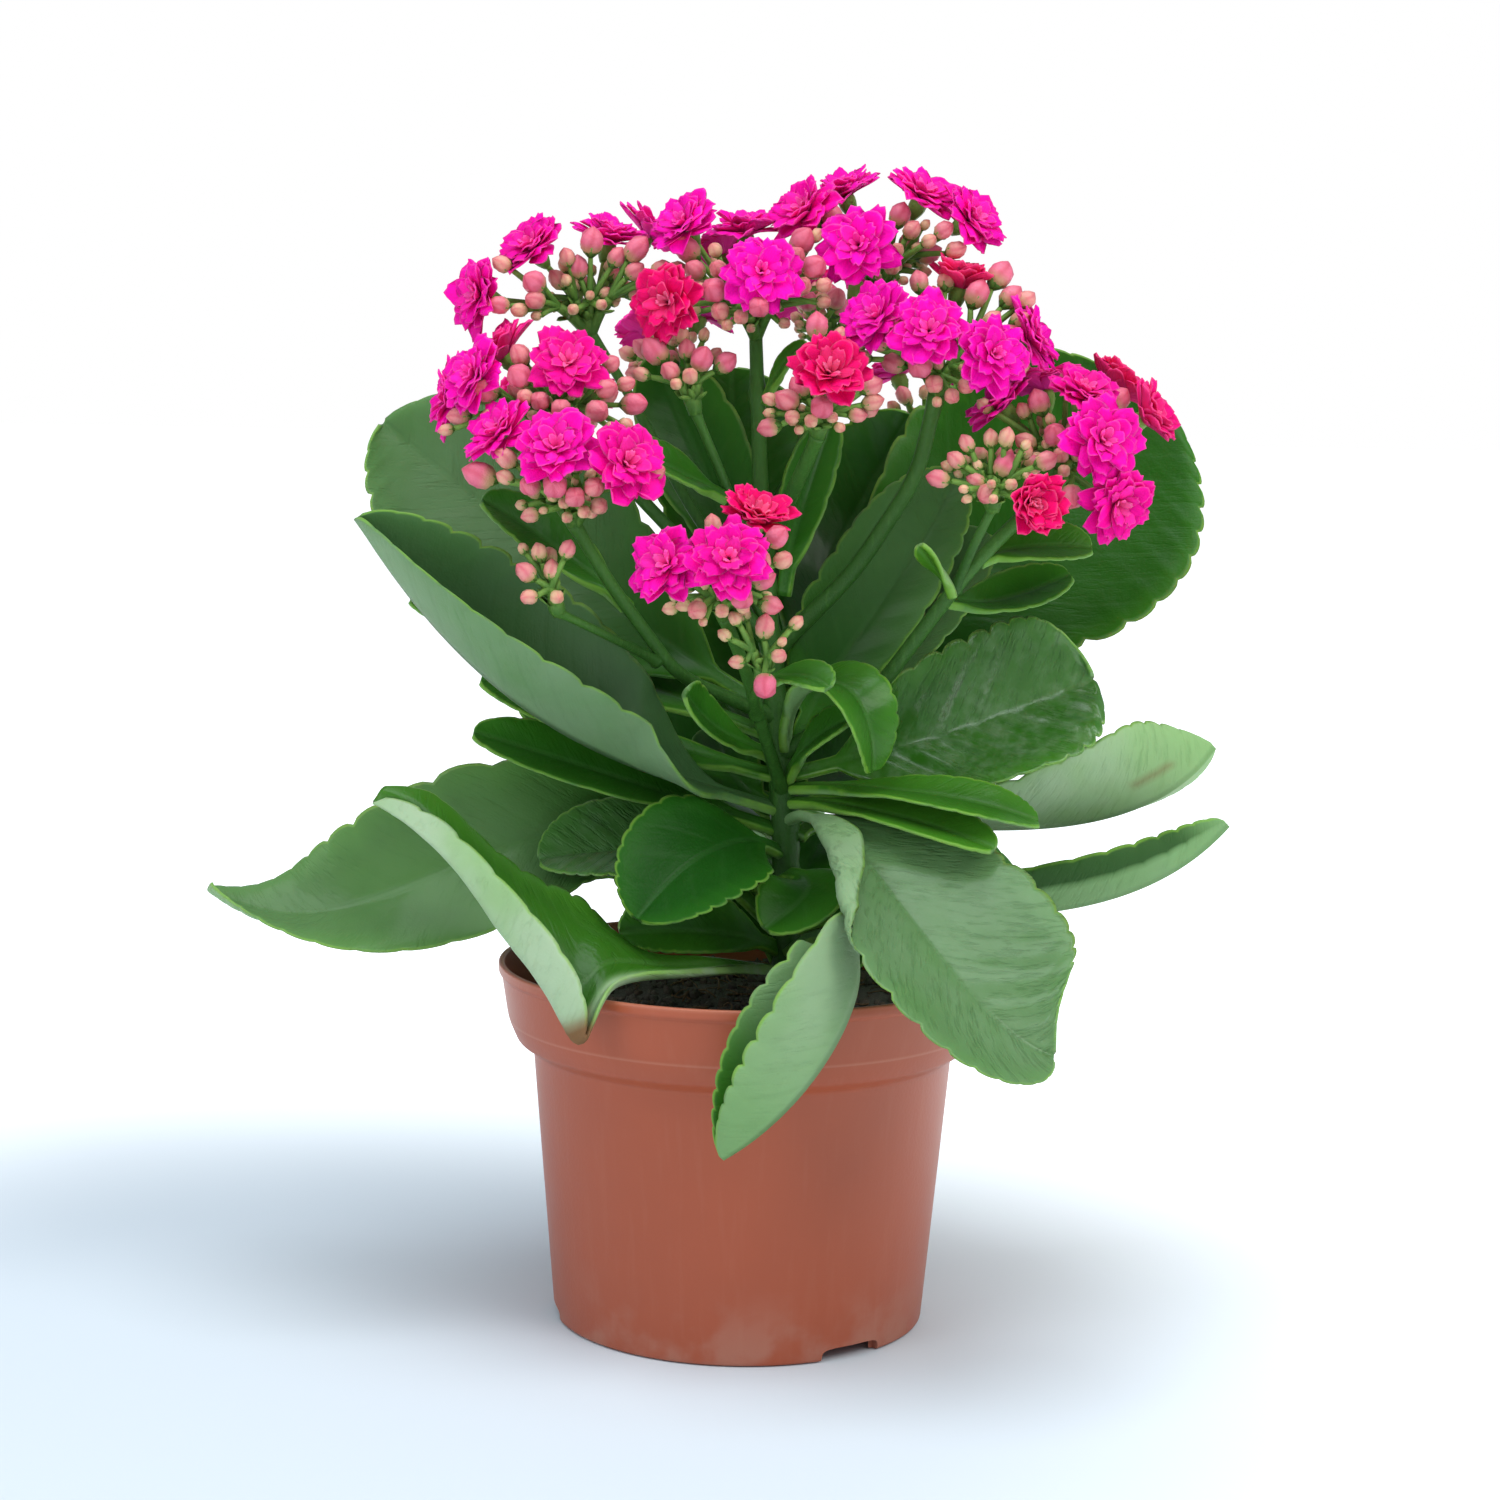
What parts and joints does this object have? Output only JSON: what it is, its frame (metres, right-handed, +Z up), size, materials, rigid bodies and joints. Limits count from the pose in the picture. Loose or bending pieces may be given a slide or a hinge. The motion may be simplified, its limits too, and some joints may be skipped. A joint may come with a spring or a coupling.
{
  "type": "potted kalanchoe",
  "caption": "Flowering kalanchoe in a round nursery pot: broad scalloped succulent leaves on a branched stem, topped by loose heads of double flowers and buds.",
  "frame": {"origin": "centre of the pot's flat base", "axes": "+Z up along the pot's axis, -Y towards the front of the plant, +X to its right"},
  "size_m": [0.2448, 0.1742, 0.2813],
  "materials": {
    "pot": "satin terracotta-coloured plastic",
    "soil": "loose dark peat",
    "stem": "fleshy green stem, satin",
    "leaf": "thick fleshy leaf, glossy above and greyer below",
    "flower": "soft magenta petals"
  },
  "bodies": {
    "root": {"pot": "pot", "soil": "soil", "stem": "stem", "leaf_left_folded": "leaf", "leaf_left_round": "leaf", "leaf_right_round": "leaf", "leaf_right_upright": "leaf", "leaf_right_grey": "leaf", "leaf_right_glossy": "leaf", "leaf_right_short": "leaf", "leaf_right_twisted": "leaf", "leaf_right_low": "leaf", "leaf_front_drooping": "leaf", "leaf_front_hanging": "leaf", "leaf_left_curled": "leaf", "leaf_left_wavy": "leaf", "leaf_front_dark": "leaf", "leaf_front_small": "leaf", "leaf_low_soil": "leaf", "leaf_left_mid_upper": "leaf", "leaf_left_mid_lower": "leaf", "leaf_left_glossy": "leaf", "leaf_left_under": "leaf", "leaf_back_centre": "leaf", "leaf_back_right": "leaf", "leaf_back_low_left": "leaf", "leaf_back_low_right": "leaf", "leaf_back_drooping": "leaf", "leaf_back_mid_left": "leaf", "leaf_back_mid_right": "leaf", "leaf_back_high": "leaf", "leaf_centre_left": "leaf", "leaf_centre_arch": "leaf", "leaf_centre_inner": "leaf", "leaf_bract_centre": "leaf", "leaf_small_front": "leaf", "leaf_right_upper": "leaf", "leaf_right_middle": "leaf", "leaf_bract_right": "leaf", "leaf_upright": "leaf", "leaf_under_head": "leaf", "leaf_right_of_head": "leaf", "leaf_bract_top": "leaf", "head_a": "flower", "head_b": "flower", "head_c": "flower", "head_d": "flower", "head_e": "flower", "head_f": "flower", "head_g": "flower", "head_h": "flower", "head_i": "flower", "head_j": "flower", "head_k": "flower", "head_m": "flower", "head_n": "flower", "head_p": "flower", "head_q": "flower", "head_r": "flower", "head_s": "flower"}
  },
  "joints": []
}
